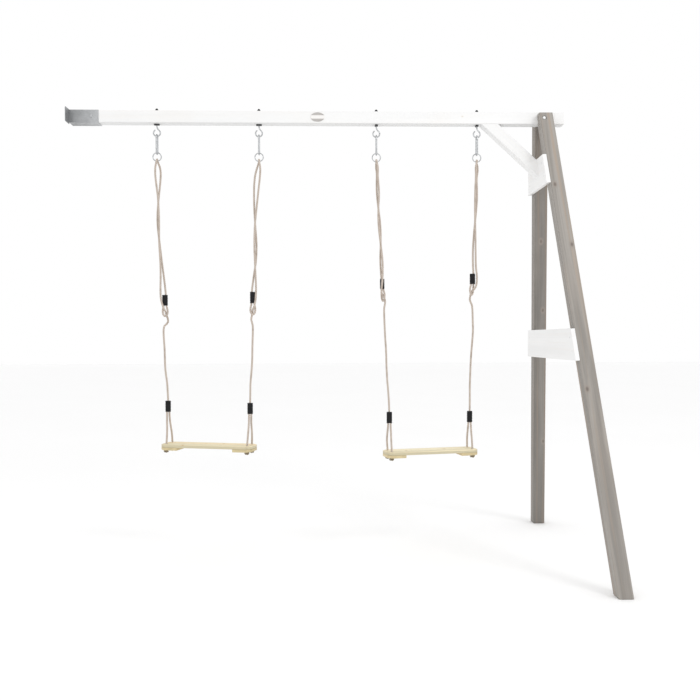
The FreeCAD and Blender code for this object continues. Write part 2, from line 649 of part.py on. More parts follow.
def seat_parts(seat, ropes):
    """Board, two cleats under its ends and their screws."""
    half = SEAT_L / 2
    board = prism(clean_outline(plank_outline(-half, half, SEAT_CUT, SEAT_CUT)), V(0, 0, -SEAT_T))
    flat = [edge for edge in board.Edges if abs(edge.BoundBox.ZLength) < 0.01]
    board = seat_frame(board.makeFillet(SEAT_EDGE_R, flat), seat)
    cleats = []
    screws = []
    for side in (-1, 1):
        inner, outer = half - CLEAT_L, half
        outline = plank_outline(inner, outer, 0.0, SEAT_CUT)
        if side < 0:
            outline = [V(-p.x, p.y, 0) for p in outline]
        cleat = prism(clean_outline(outline), V(0, 0, -CLEAT_T))
        cleat = cleat.makeFillet(1.5, [edge for edge in cleat.Edges if edge.BoundBox.ZMax < -CLEAT_T + 0.01])
        cleat.translate(V(0, 0, -SEAT_T))
        cleats.append(seat_frame(cleat, seat))
        for across in (-42, 0, 42):
            head = V(side * (half - 62), across, -SEAT_T - CLEAT_T)
            body = Part.makeCone(3.8, 1.8, 2.4, head, V(0, 0, 1))
            body = body.fuse(Part.makeCylinder(1.8, 22, head, V(0, 0, 1))).removeSplitter()
            screws.append(seat_frame(body, seat))
    for tool in ropes + screws:
        board = board.cut(tool)
        cleats = [cleat.cut(tool) for cleat in cleats]
    return board, cleats, screws


def knots(seat, ropes):
    """Rope knots that bear on the cleats from below."""
    found = []
    z = -SEAT_T - CLEAT_T - KNOT_DROP
    for x in (-HOLE_X, HOLE_X):
        for y in (-HOLE_Y, HOLE_Y):
            knot = Part.makeSphere(KNOT_R, V(x, y, z))
            knot = knot.cut(box(x - 20, x + 20, y - 20, y + 20, -SEAT_T - CLEAT_T, 0))
            knot = seat_frame(knot, seat)
            for rope in ropes:
                knot = knot.cut(rope)
            found.append(knot)
    return found


def save(name, shapes):
    """Write one sub-part, or a group of like pieces, as parts/NAME.step."""
    solids = []
    for shape in shapes:
        solids.extend(shape.Solids)
    for solid in solids:
        if not solid.isValid() or solid.Volume <= 0:
            raise ValueError(f"{name} has a bad solid")
    shape = solids[0] if len(solids) == 1 else Part.makeCompound(solids)
    shape.exportStep(f"parts/{name}.step")


def build_frame():
    """Everything that stands still."""
    hooks = [swing_hook(x) for x in HOOK_X]
    wood_screws = frame_screws()
    side_screws = shoe_screws()
    shoe = beam_shoe()
    bolt, nut, washers = leg_bolt_parts()
    hole = bolt_tool()

    beam = box(BEAM_START, BEAM_END, -HALF, HALF, -HALF, HALF)
    beam = round_long_edges(beam, V(1, 0, 0), BEAM_EDGE_R, 500).cut(hole)
    for x in HOOK_X:
        beam = beam.cut(Part.makeCylinder(HOOK_SHANK_R, 200, V(x, 0, -100), V(0, 0, 1)))
    for tool in side_screws + wood_screws:
        beam = beam.cut(tool)
    save("beam", [beam])

    posts = []
    for side in (-1, 1):
        post = leg(side)
        posts.append(post.makeChamfer(FOOT_CHAMFER, foot_rims(post)).cut(hole))
    timbers = {
        "front_leg": posts[0],
        "rear_leg": posts[1],
        "upper_cross_board": cross_board(UPPER_BOARD_AT),
        "lower_cross_board": cross_board(LOWER_BOARD_AT),
        "corner_brace": corner_brace(),
    }
    for name, timber in timbers.items():
        for tool in wood_screws:
            timber = timber.cut(tool)
        save(name, [timber])

    for tool in side_screws:
        shoe = shoe.cut(tool)
    save("beam_shoe", [shoe])
    save("shoe_screws", side_screws)
    save("frame_screws", wood_screws)
    save("leg_bolt", [bolt])
    save("leg_bolt_nut", [nut])
    save("leg_bolt_washers", washers)
    save("oval_badge", [oval_badge()])

    nuts = [cap_nut(x) for x in HOOK_X]
    flanges = [hook_flange(x, turn) for x, turn in zip(HOOK_X, (0, 0, 90, 90))]
    for number, hook in enumerate(hooks, start=1):
        save(f"swing_hook_{number}", [hook])
    save("hook_cap_nuts", [nut_piece for nut_piece, _ in nuts])
    save("hook_washers", [washer for _, washer in nuts])
    save("hook_flanges", flanges)


def build_swing(number):
    """One swing: two lines of snap hook, ring, rope and sleeves, and the seat they carry."""
    seat = SEATS[number]
    pins = []
    seat_ropes = []
    for index, side in enumerate(("left", "right")):
        line = f"swing_{number}_{side}"
        x = HOOK_X[2 * (number - 1) + index]
        save(f"{line}_snap_hook", [snap_hook(x)])
        save(f"{line}_snap_gate", [snap_gate(x)])
        save(f"{line}_ring", [ring(x)])
        pins.append(gate_pin(x))
        rope = rope_tube(f"{line}_rope", placed(ROPE_ROUTES[line], x))
        save(f"{line}_rope", [rope])
        save(f"{line}_upper_sleeve", [sleeve(x, *UPPER_SLEEVES[line], [rope])])
        seat_rope = rope_tube(f"{line}_seat_rope", placed(SEAT_ROPE_ROUTES[line], x))
        seat_ropes.append(seat_rope)
        save(f"{line}_seat_rope", [seat_rope])
        top, bottom, turn = LOWER_SLEEVES[line]
        lowered = (top[0], top[1], top[2] - HINGE_GAP)
        save(f"{line}_lower_sleeve", [sleeve(x, lowered, bottom, turn, [seat_rope])])
    board, cleats, screws = seat_parts(seat, seat_ropes)
    save(f"swing_{number}_gate_pins", pins)
    save(f"swing_{number}_seat_board", [board])
    save(f"swing_{number}_seat_cleats", cleats)
    save(f"swing_{number}_seat_screws", screws)
    save(f"swing_{number}_knots", knots(seat, seat_ropes))


os.makedirs("parts", exist_ok=True)
build_frame()
for swing in SEATS:
    build_swing(swing)
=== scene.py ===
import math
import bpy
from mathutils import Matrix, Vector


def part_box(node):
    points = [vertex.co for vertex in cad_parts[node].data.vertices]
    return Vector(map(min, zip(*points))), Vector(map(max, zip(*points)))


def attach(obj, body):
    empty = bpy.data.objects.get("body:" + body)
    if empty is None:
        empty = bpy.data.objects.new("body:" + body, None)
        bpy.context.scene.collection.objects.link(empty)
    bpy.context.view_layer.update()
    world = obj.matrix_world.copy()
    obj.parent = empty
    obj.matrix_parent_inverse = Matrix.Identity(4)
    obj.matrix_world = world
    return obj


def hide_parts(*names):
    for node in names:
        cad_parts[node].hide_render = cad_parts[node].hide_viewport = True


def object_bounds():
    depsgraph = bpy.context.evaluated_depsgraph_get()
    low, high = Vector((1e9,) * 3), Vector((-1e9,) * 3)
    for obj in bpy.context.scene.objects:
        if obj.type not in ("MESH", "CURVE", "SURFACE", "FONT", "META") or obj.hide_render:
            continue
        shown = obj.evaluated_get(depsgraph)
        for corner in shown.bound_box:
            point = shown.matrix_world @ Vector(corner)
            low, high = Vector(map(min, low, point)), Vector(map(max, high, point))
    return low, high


bl_info = {
    "name": "Timber swing set",
    "version": (1, 0, 0),
    "blender": (4, 2, 0),
    "location": "View3D > Sidebar > Swing set",
    "description": "Finishes a two-seat timber swing set: timber, metalwork, laid ropes, sleeves, knots and seats",
    "category": "Add Mesh",
}

import bmesh
import bpy
from mathutils import Matrix, Vector

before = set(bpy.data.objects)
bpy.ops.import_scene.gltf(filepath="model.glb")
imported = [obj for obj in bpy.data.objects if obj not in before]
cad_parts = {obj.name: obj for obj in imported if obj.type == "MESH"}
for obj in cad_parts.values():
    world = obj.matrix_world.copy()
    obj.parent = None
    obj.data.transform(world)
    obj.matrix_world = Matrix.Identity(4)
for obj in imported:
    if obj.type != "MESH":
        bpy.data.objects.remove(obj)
CAD_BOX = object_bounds()

HOOK_X = {"swing_1_left": 0.405, "swing_1_right": 0.889, "swing_2_left": 1.45, "swing_2_right": 1.934}
LINES = tuple(HOOK_X)
SWINGS = ("swing_1", "swing_2")
SEAT_TURNS = {"swing_1": math.radians(-14), "swing_2": math.radians(12)}
LEG_SPLAY = math.radians(16.4)
LEG_LEAN = math.radians(4.14)
BRACE_ANGLE = math.radians(42.6)
RING_R = 0.0197
RING_WIRE_R = 0.0025
STRANDS = 3
LINE_STEP = 0.002
SLEEVE_WAVES = ((0.0053, 0.45), (0.0083, 0.7), (0.0131, 1.0))

# Rope routes: x from the rope's hook, then y and z, in metres. Each runs from the tail in the upper sleeve,
# round the small eye, up to the ring, over it, down again, through the eye and on to the lower sleeve.
ROPE_ROUTES = {
    "swing_1_left": [
        (0.0232, 0.0242, -0.852), (0.0228, 0.0246, -0.888), (0.0155, 0.0255, -0.915),
        (0.018, 0.026, -0.935), (0.0282, 0.0264, -0.9435), (0.0385, 0.0262, -0.935),
        (0.041, 0.0257, -0.915), (0.0332, 0.0248, -0.889), (0.0326, 0.024, -0.842),
        (0.0285, 0.0235, -0.795), (0.0225, 0.023, -0.745), (0.0135, 0.023, -0.673),
        (0.004, 0.02, -0.585), (-0.0055, 0.014, -0.485), (0.0025, 0.0125, -0.385),
        (0.012, 0.0105, -0.31), (0.0155, 0.0095, -0.262), (0.0115, 0.009, -0.232),
        (0.004, 0.0084, -0.214), (0, 0.008, -0.2014), (0, 0.0033, -0.1967), (0, -0.0033, -0.1967),
        (0, -0.008, -0.2014), (-0.003, -0.0084, -0.2145), (-0.008, -0.008, -0.238),
        (-0.0085, -0.006, -0.275), (-0.003, -0.002, -0.325), (0.004, 0.0005, -0.39),
        (0.0065, 0.005, -0.485), (0.0045, 0.008, -0.585), (0.0095, 0.011, -0.673),
        (0.0105, 0.014, -0.745), (0.0085, 0.0145, -0.805), (0.009, 0.015, -0.86), (0.02, 0.014, -0.897),
        (0.028, 0.022, -0.915), (0.0315, 0.033, -0.931), (0.037, 0.0365, -0.948),
        (0.0415, 0.035, -0.966), (0.034, 0.0315, -0.98), (0.022, 0.0295, -0.988), (0.0185, 0.03, -1.012),
        (0.0195, 0.031, -1.045), (0.023, 0.0335, -1.1), (0.0235, 0.0355, -1.17), (0.026, 0.0375, -1.215),
        (0.033, 0.0395, -1.262), (0.0345, 0.041, -1.305), (0.0365, 0.042, -1.35),
    ],
    "swing_1_right": [
        (-0.026, -0.0236, -0.842), (-0.026, -0.0246, -0.88), (-0.0185, -0.0255, -0.908),
        (-0.021, -0.0262, -0.929), (-0.031, -0.0266, -0.9385), (-0.041, -0.0262, -0.929),
        (-0.0435, -0.0256, -0.908), (-0.036, -0.0247, -0.881), (-0.0365, -0.0232, -0.832),
        (-0.031, -0.0195, -0.785), (-0.024, -0.015, -0.735), (-0.015, -0.011, -0.675),
        (-0.0125, -0.0075, -0.6), (-0.02, -0.005, -0.505), (-0.025, 0, -0.415), (-0.0255, 0.004, -0.335),
        (-0.022, 0.0065, -0.278), (-0.012, 0.008, -0.238), (-0.004, 0.0084, -0.2155),
        (0, 0.008, -0.2014), (0, 0.0033, -0.1967), (0, -0.0033, -0.1967), (0, -0.008, -0.2014),
        (0.0025, -0.0084, -0.2145), (0.0065, -0.0088, -0.237), (0.005, -0.009, -0.275),
        (-0.002, -0.01, -0.335), (-0.01, -0.0125, -0.41), (-0.0205, -0.0165, -0.505),
        (-0.0235, -0.019, -0.6), (-0.0205, -0.0235, -0.69), (-0.0165, -0.028, -0.76),
        (-0.0145, -0.032, -0.825), (-0.0165, -0.036, -0.868), (-0.023, -0.0375, -0.898),
        (-0.031, -0.031, -0.912), (-0.0335, -0.02, -0.925), (-0.037, -0.0155, -0.944),
        (-0.0405, -0.019, -0.96), (-0.035, -0.025, -0.974), (-0.0305, -0.029, -0.995),
        (-0.0315, -0.0305, -1.03), (-0.0335, -0.0325, -1.09), (-0.0345, -0.0355, -1.16),
        (-0.038, -0.0375, -1.21), (-0.043, -0.04, -1.262), (-0.0435, -0.042, -1.31),
        (-0.0445, -0.043, -1.356),
    ],
    "swing_2_left": [
        (0.0279, -0.0228, -0.78), (0.0279, -0.0236, -0.814), (0.0365, -0.031, -0.838),
        (0.035, -0.029, -0.862), (0.029, -0.0208, -0.876), (0.023, -0.0118, -0.862),
        (0.0215, -0.0098, -0.838), (0.0221, -0.015, -0.814), (0.022, -0.0143, -0.77),
        (0.0185, -0.0115, -0.722), (0.0165, -0.0095, -0.672), (0.0195, -0.0065, -0.6),
        (0.0195, -0.004, -0.515), (0.009, -0.0005, -0.428), (0.0015, 0.002, -0.36),
        (0.001, 0.005, -0.305), (0.003, 0.007, -0.262), (-0.001, 0.0085, -0.233),
        (-0.0005, 0.0086, -0.2145), (0, 0.008, -0.2014), (0, 0.0033, -0.1967), (0, -0.0033, -0.1967),
        (0, -0.008, -0.2014), (0.0035, -0.0085, -0.2145), (0.0075, -0.009, -0.236),
        (0.0055, -0.0095, -0.268), (0.009, -0.01, -0.31), (0.0125, -0.0115, -0.365),
        (0.0075, -0.0135, -0.43), (0.008, -0.016, -0.515), (0.019, -0.019, -0.605),
        (0.027, -0.023, -0.677), (0.0275, -0.029, -0.735), (0.0245, -0.036, -0.785),
        (0.02, -0.036, -0.822), (0.022, -0.0285, -0.838), (0.0305, -0.0185, -0.85),
        (0.0385, -0.0135, -0.866), (0.0395, -0.015, -0.884), (0.0345, -0.0205, -0.902),
        (0.0335, -0.0225, -0.93), (0.035, -0.025, -0.975), (0.0375, -0.027, -1.04),
        (0.0425, -0.0295, -1.115), (0.0435, -0.032, -1.185), (0.0465, -0.0345, -1.25),
        (0.0525, -0.037, -1.32), (0.0545, -0.0383, -1.362), (0.056, -0.039, -1.403),
    ],
    "swing_2_right": [
        (-0.0231, 0.0178, -0.752), (-0.0231, 0.0188, -0.788), (-0.0315, 0.0122, -0.812),
        (-0.03, 0.0135, -0.832), (-0.022, 0.0205, -0.846), (-0.014, 0.0269, -0.832),
        (-0.0125, 0.0278, -0.812), (-0.0129, 0.0195, -0.788), (-0.013, 0.0175, -0.742),
        (-0.0155, 0.021, -0.695), (-0.016, 0.0205, -0.64), (-0.013, 0.0175, -0.57),
        (-0.005, 0.015, -0.485), (0.003, 0.012, -0.4), (0.0035, 0.01, -0.34), (0.0005, 0.0095, -0.285),
        (0.0065, 0.009, -0.246), (0.006, 0.0086, -0.226), (0.0025, 0.0084, -0.2135), (0, 0.008, -0.2014),
        (0, 0.0033, -0.1967), (0, -0.0033, -0.1967), (0, -0.008, -0.2014), (-0.003, -0.0084, -0.214),
        (-0.007, -0.0086, -0.234), (-0.005, -0.0075, -0.27), (-0.0075, -0.0035, -0.325),
        (-0.0085, -0.0005, -0.385), (-0.008, 0.003, -0.47), (-0.005, 0.0075, -0.56),
        (-0.004, 0.0095, -0.64), (-0.003, 0.011, -0.705), (0.003, 0.011, -0.752),
        (0.0015, 0.0095, -0.79), (-0.007, 0.008, -0.812), (-0.018, 0.0135, -0.821),
        (-0.026, 0.025, -0.831), (-0.026, 0.03, -0.848), (-0.03, 0.0285, -0.864),
        (-0.026, 0.0245, -0.878), (-0.0195, 0.0225, -0.892), (-0.017, 0.023, -0.918),
        (-0.016, 0.0245, -0.96), (-0.0135, 0.0265, -1.02), (-0.019, 0.029, -1.085),
        (-0.024, 0.031, -1.15), (-0.026, 0.0335, -1.215), (-0.0285, 0.0355, -1.28),
        (-0.028, 0.0375, -1.345), (-0.0285, 0.0395, -1.408),
    ],
}

SEAT_ROPE_ROUTES = {
    "swing_1_left": [
        (0.0318, 0.0161, -1.592), (0.0319, 0.0165, -1.552), (0.034, 0.025, -1.505),
        (0.032, 0.034, -1.455), (0.0305, 0.041, -1.412), (0.0295, 0.043, -1.388),
        (0.0297, 0.0428, -1.366), (0.0421, 0.0428, -1.366), (0.0423, 0.043, -1.388),
        (0.041, 0.046, -1.412), (0.0425, 0.054, -1.455), (0.0475, 0.07, -1.505),
        (0.0482, 0.0818, -1.552), (0.0482, 0.0824, -1.592),
    ],
    "swing_1_right": [
        (-0.0563, -0.0824, -1.592), (-0.056, -0.0818, -1.552), (-0.0525, -0.0695, -1.505),
        (-0.05, -0.056, -1.46), (-0.0495, -0.047, -1.417), (-0.051, -0.0445, -1.394),
        (-0.0508, -0.0443, -1.372), (-0.0384, -0.0443, -1.372), (-0.0382, -0.0445, -1.394),
        (-0.0395, -0.0425, -1.417), (-0.0405, -0.0335, -1.46), (-0.038, -0.0225, -1.505),
        (-0.0396, -0.0168, -1.552), (-0.0399, -0.0164, -1.592),
    ],
    "swing_2_left": [
        (0.0646, -0.0756, -1.626), (0.0644, -0.0752, -1.587), (0.063, -0.067, -1.54),
        (0.062, -0.0555, -1.5), (0.0615, -0.044, -1.465), (0.0625, -0.0408, -1.441),
        (0.0623, -0.0406, -1.419), (0.0499, -0.0406, -1.419), (0.0497, -0.0408, -1.441),
        (0.0505, -0.0385, -1.465), (0.0475, -0.028, -1.5), (0.045, -0.0165, -1.54),
        (0.05, -0.0096, -1.587), (0.0504, -0.0091, -1.626),
    ],
    "swing_2_right": [
        (-0.0204, 0.0092, -1.626), (-0.0207, 0.0098, -1.587), (-0.0215, 0.019, -1.545),
        (-0.023, 0.029, -1.507), (-0.0235, 0.0385, -1.471), (-0.0223, 0.04, -1.446),
        (-0.0225, 0.0398, -1.424), (-0.0349, 0.0398, -1.424), (-0.0351, 0.04, -1.446),
        (-0.0345, 0.043, -1.471), (-0.0365, 0.0525, -1.507), (-0.0375, 0.065, -1.545),
        (-0.0348, 0.075, -1.587), (-0.0346, 0.0757, -1.626),
    ],
}

UPPER_SLEEVES = {
    "swing_1_left": ((0.028, 0.024, -0.84), (0.028, 0.0248, -0.891), 0.0),
    "swing_1_right": ((-0.0312, -0.0232, -0.829), (-0.0311, -0.0247, -0.882), 0.0),
    "swing_2_left": ((0.025, -0.0185, -0.768), (0.025, -0.0196, -0.816), -55.0),
    "swing_2_right": ((-0.018, 0.0175, -0.74), (-0.018, 0.019, -0.79), 0.0),
}

LOWER_SLEEVES = {
    "swing_1_left": ((0.036, 0.0425, -1.35), (0.0358, 0.0436, -1.403), 0.0),
    "swing_1_right": ((-0.0445, -0.0436, -1.356), (-0.0445, -0.0446, -1.408), 0.0),
    "swing_2_left": ((0.056, -0.0396, -1.403), (0.056, -0.041, -1.456), 0.0),
    "swing_2_right": ((-0.0286, 0.0396, -1.408), (-0.0289, 0.0406, -1.462), 0.0),
}


class SwingSetSizes(bpy.types.PropertyGroup):
    """Sizes that shape the ropes, knots and sleeves."""

    rope_diameter: bpy.props.FloatProperty(
        name="Rope diameter", description="Thickness of the laid rope over its strands",
        default=0.01, min=0.006, max=0.016, unit="LENGTH")
    lay_pitch: bpy.props.FloatProperty(
        name="Lay pitch", description="Length of rope in which a strand goes once round",
        default=0.029, min=0.02, max=0.06, unit="LENGTH")
    knot_radius: bpy.props.FloatProperty(
        name="Knot radius", description="Radius of the stopper knots under the seats",
        default=0.012, min=0.008, max=0.018, unit="LENGTH")
    sleeve_wrinkle: bpy.props.FloatProperty(
        name="Sleeve wrinkle", description="Height of the rings in the shrunk sleeves",
        default=0.00018, min=0.0, max=0.001, unit="LENGTH")
    floor_size: bpy.props.FloatProperty(
        name="Floor size", description="Width of the studio floor",
        default=60.0, min=10.0, max=200.0, unit="LENGTH")


class SwingSetColours(bpy.types.PropertyGroup):
    """Base colours of the finishes."""

    white_timber: bpy.props.FloatVectorProperty(
        name="White timber", description="Paint on the beam, boards and brace",
        default=(0.86, 0.86, 0.858), subtype="COLOR", min=0.0, max=1.0)
    grey_timber: bpy.props.FloatVectorProperty(
        name="Grey timber", description="Stain on the legs",
        default=(0.37, 0.343, 0.312), subtype="COLOR", min=0.0, max=1.0)
    seat_pine: bpy.props.FloatVectorProperty(
        name="Seat pine", description="Sanded pine of the seats",
        default=(0.80, 0.715, 0.49), subtype="COLOR", min=0.0, max=1.0)
    sawn_pine: bpy.props.FloatVectorProperty(
        name="Sawn pine", description="Rough pine of the blocks under the seats",
        default=(0.64, 0.535, 0.31), subtype="COLOR", min=0.0, max=1.0)
    rope: bpy.props.FloatVectorProperty(
        name="Rope", description="Yarn of the ropes",
        default=(0.44, 0.38, 0.33), subtype="COLOR", min=0.0, max=1.0)
    sleeve: bpy.props.FloatVectorProperty(
        name="Sleeve", description="Plastic of the sleeves",
        default=(0.006, 0.006, 0.007), subtype="COLOR", min=0.0, max=1.0)
    steel: bpy.props.FloatVectorProperty(
        name="Zinc", description="Zinc on wire and plate",
        default=(0.50, 0.51, 0.52), subtype="COLOR", min=0.0, max=1.0)


def sizes():
    """Sizes set for this scene."""
    return bpy.context.scene.swing_set_sizes


def colours():
    """Colours set for this scene."""
    return bpy.context.scene.swing_set_colours


# Finishes

class Finish:
    """A material under construction: makes nodes, joins them and ends in one surface shader."""

    def __init__(self, name):
        self.material = bpy.data.materials.new(name)
        self.material.use_nodes = True
        self.tree = self.material.node_tree
        self.tree.nodes.clear()
        self.shader = self.node("ShaderNodeBsdfPrincipled")
        output = self.node("ShaderNodeOutputMaterial")
        self.join(self.shader.outputs["BSDF"], output.inputs["Surface"])
        self.place = self.node("ShaderNodeTexCoord").outputs["Object"]

    def node(self, kind, **settings):
        made = self.tree.nodes.new(kind)
        for key, value in settings.items():
            setattr(made, key, value)
        return made

    def join(self, source, target):
        self.tree.links.new(source, target)

    def mapped(self, source, turn=(0, 0, 0), scale=(1, 1, 1), move=(0, 0, 0)):
        """Coordinates turned, then stretched."""
        turned = self.node("ShaderNodeMapping")
        turned.inputs["Rotation"].default_value = turn
        self.join(source, turned.inputs["Vector"])
        stretched = self.node("ShaderNodeMapping")
        stretched.inputs["Scale"].default_value = scale
        stretched.inputs["Location"].default_value = move
        self.join(turned.outputs["Vector"], stretched.inputs["Vector"])
        return stretched.outputs["Vector"]

    def noise(self, coordinates, scale, detail=4.0, roughness=0.55, distortion=0.0):
        made = self.node("ShaderNodeTexNoise")
        made.inputs["Scale"].default_value = scale
        made.inputs["Detail"].default_value = detail
        made.inputs["Roughness"].default_value = roughness
        made.inputs["Distortion"].default_value = distortion
        self.join(coordinates, made.inputs["Vector"])
        return made.outputs["Fac"]

    def ramp(self, source, low, high, start=0.0, end=1.0):
        """Value remapped smoothly from one range to another."""
        made = self.node("ShaderNodeMapRange", interpolation_type="SMOOTHSTEP")
        made.inputs["From Min"].default_value = low
        made.inputs["From Max"].default_value = high
        made.inputs["To Min"].default_value = start
        made.inputs["To Max"].default_value = end
        self.join(source, made.inputs["Value"])
        return made.outputs["Result"]

    def mix(self, factor, first, second):
        """Colour mix; each colour is a value or another node's output."""
        made = self.node("ShaderNodeMix", data_type="RGBA")
        self.join(factor, made.inputs["Factor"])
        for colour, socket in ((first, made.inputs[6]), (second, made.inputs[7])):
            if isinstance(colour, bpy.types.NodeSocket):
                self.join(colour, socket)
            else:
                socket.default_value = (*colour, 1.0)
        return made.outputs[2]

    def bump(self, height, strength, distance, under=None):
        made = self.node("ShaderNodeBump")
        made.inputs["Strength"].default_value = strength
        made.inputs["Distance"].default_value = distance
        self.join(height, made.inputs["Height"])
        if under is not None:
            self.join(under, made.inputs["Normal"])
        return made.outputs["Normal"]

    def surface(self, colour, roughness, normal, metallic=0.0, specular=0.5):
        self.join(colour, self.shader.inputs["Base Color"])
        self.join(roughness, self.shader.inputs["Roughness"])
        self.join(normal, self.shader.inputs["Normal"])
        self.shader.inputs["Metallic"].default_value = metallic
        self.shader.inputs["Specular IOR Level"].default_value = specular
        return self.material


def shade(colour, factor):
    """A colour made lighter or darker."""
    return tuple(min(1.0, channel * factor) for channel in colour)


def along(way):
    """Turn that lays a direction along X."""
    return tuple(Vector(way).normalized().rotation_difference(Vector((1, 0, 0))).to_euler())


def timber_finish(name, colour, way, streak, knot_tint, fibre, knots=(), shaded_below=None):
    """Planed timber whose grain runs one way, with streaks and fibres.

    Knots are (centre, radius) pairs. The last argument is (height, factor): below that height the colour is
    darkened by the factor as painted shade on undersides and side faces.
    """
    finish = Finish(name)
    turn = along(way)
    broad = finish.noise(finish.mapped(finish.place, turn, (0.9, 17.0, 17.0)), 1.0, 5.0, 0.6, 0.6)
    rings = finish.noise(finish.mapped(finish.place, turn, (1.4, 95.0, 95.0)), 1.0, 3.0, 0.5, 0.3)
    fibres = finish.noise(finish.mapped(finish.place, turn, (22.0, 720.0, 720.0)), 1.0, 2.0, 0.6)
    patches = finish.noise(finish.place, 3.2, 2.0)
    pale = shade(colour, 1.0 + streak * 0.45)
    base = finish.mix(finish.ramp(broad, 0.36, 0.66), pale, shade(colour, 1.0 - streak))
    base = finish.mix(finish.ramp(rings, 0.48, 0.72, 0.0, 0.55), base, shade(colour, 1.0 - streak * 1.5))
    base = finish.mix(finish.ramp(patches, 0.45, 0.7, 0.0, 0.3), base, knot_tint[0])
    warm = (colour[0] * 1.08, colour[1] * 0.96, colour[2] * 0.86)
    drift = finish.mapped(finish.place, turn, (0.55, 30.0, 30.0), (3.0, 0.0, 0.0))
    veins = finish.noise(drift, 1.0, 4.0, 0.6, 0.8)
    base = finish.mix(finish.ramp(veins, 0.5, 0.66, 0.0, min(1.0, streak * 4)), base, warm)
    height = finish.ramp(fibres, 0.3, 0.7)
    for centre, radius in knots:
        spot = finish.node("ShaderNodeVectorMath", operation="DISTANCE")
        stretch = (0.62, 1.0, 1.0)
        finish.join(finish.mapped(finish.place, turn, stretch), spot.inputs[0])
        aligned = Matrix.Diagonal(stretch) @ Vector(way).normalized().rotation_difference(
            Vector((1, 0, 0))).to_matrix() @ Vector(centre)
        spot.inputs[1].default_value = aligned
        near = finish.ramp(spot.outputs["Value"], radius * 0.35, radius * 1.5, 1.0, 0.0)
        core = finish.ramp(spot.outputs["Value"], radius * 0.2, radius * 0.8, 0.85, 0.0)
        base = finish.mix(near, base, knot_tint[0])
        base = finish.mix(core, base, knot_tint[1])
    # Painted shade: the colour is darkened below the given height, standing in for the shade on undersides and
    # side faces.
    if shaded_below is not None:
        level = finish.node("ShaderNodeSeparateXYZ")
        finish.join(finish.place, level.inputs["Vector"])
        under = finish.ramp(level.outputs["Z"], shaded_below[0] - 0.001, shaded_below[0] + 0.001, 0.8, 0.0)
        base = finish.mix(under, base, shade(colour, shaded_below[1]))
    normal = finish.bump(height, fibre, 0.0004)
    normal = finish.bump(rings, fibre * 0.7, 0.0008, normal)
    return finish.surface(base, finish.ramp(broad, 0.3, 0.7, 0.47, 0.65), normal)


def spangled_zinc(name, colour):
    """Hot-dip galvanised sheet: dull zinc with faint spangles, cloudy grey patches and painted shade towards the
    tower end.
    """
    finish = Finish(name)
    spangle = finish.node("ShaderNodeTexVoronoi")
    spangle.inputs["Scale"].default_value = 130.0
    finish.join(finish.place, spangle.inputs["Vector"])
    cloud = finish.noise(finish.place, 28.0, 4.0)
    fine = finish.noise(finish.place, 900.0, 2.0)
    tone = finish.mix(finish.ramp(spangle.outputs["Distance"], 0.0, 0.9), shade(colour, 1.05), shade(colour, 0.93))
    tone = finish.mix(finish.ramp(cloud, 0.35, 0.7, 0.0, 0.5), tone, shade(colour, 0.82))
    # Painted shade: darker towards low X, for the shaded wing of the shoe by the tower.
    shade_axis = finish.node("ShaderNodeSeparateXYZ")
    finish.join(finish.place, shade_axis.inputs["Vector"])
    tone = finish.mix(finish.ramp(shade_axis.outputs["X"], 0.0, 0.15, 0.55, 0.0), tone, shade(colour, 0.42))
    normal = finish.bump(fine, 0.12, 0.0002)
    return finish.surface(tone, finish.ramp(cloud, 0.3, 0.7, 0.34, 0.56), normal, metallic=0.8)


def wire_zinc(name, colour, dull=0.0):
    """Zinc-plated steel: drawn lines, small stains and slightly uneven gloss."""
    finish = Finish(name)
    stain = finish.noise(finish.place, 160.0, 5.0, 0.65)
    drawn = finish.noise(finish.mapped(finish.place, scale=(1.0, 1.0, 0.15)), 1600.0, 2.0)
    tone = finish.mix(finish.ramp(stain, 0.4, 0.72), shade(colour, 1.15), shade(colour, 0.6))
    normal = finish.bump(drawn, 0.15, 0.0002)
    gloss = finish.ramp(stain, 0.3, 0.7, 0.24 + dull, 0.44 + dull)
    return finish.surface(tone, gloss, normal, metallic=0.9)


def black_coat(name):
    """Black painted metal with slightly rubbed places."""
    finish = Finish(name)
    rub = finish.noise(finish.place, 240.0, 4.0, 0.6)
    grain = finish.noise(finish.place, 1800.0, 2.0)
    tone = finish.mix(finish.ramp(rub, 0.58, 0.74), (0.035, 0.035, 0.037), (0.12, 0.12, 0.12))
    normal = finish.bump(grain, 0.18, 0.0003)
    return finish.surface(tone, finish.ramp(rub, 0.3, 0.7, 0.42, 0.6), normal, metallic=0.35)


def rope_yarn(name, colour):
    """Twisted yarn: fibres across the strands, painted light on the strand crests and brown painted shade in the
    grooves.
    """
    finish = Finish(name)
    crest = finish.node("ShaderNodeAttribute", attribute_name="crest")
    fibres = finish.noise(finish.mapped(finish.place, scale=(1.0, 1.0, 0.45)), 2100.0, 3.0, 0.6)
    mottle = finish.noise(finish.place, 55.0, 3.0)
    # Painted light and shade: the colour runs from dark in the grooves to pale on the crests by the crest height.
    tone = finish.mix(finish.ramp(crest.outputs["Fac"], 0.05, 0.62), shade(colour, 0.13), shade(colour, 1.36))
    tone = finish.mix(finish.ramp(mottle, 0.46, 0.68, 0.0, 0.42), tone, (0.25, 0.185, 0.135))
    tone = finish.mix(finish.ramp(fibres, 0.4, 0.72, 0.0, 0.45), tone, shade(colour, 1.5))
    normal = finish.bump(fibres, 0.45, 0.0005)
    made = finish.surface(tone, finish.ramp(mottle, 0.3, 0.7, 0.72, 0.88), normal, specular=0.25)
    finish.shader.inputs["Sheen Weight"].default_value = 0.25
    return made


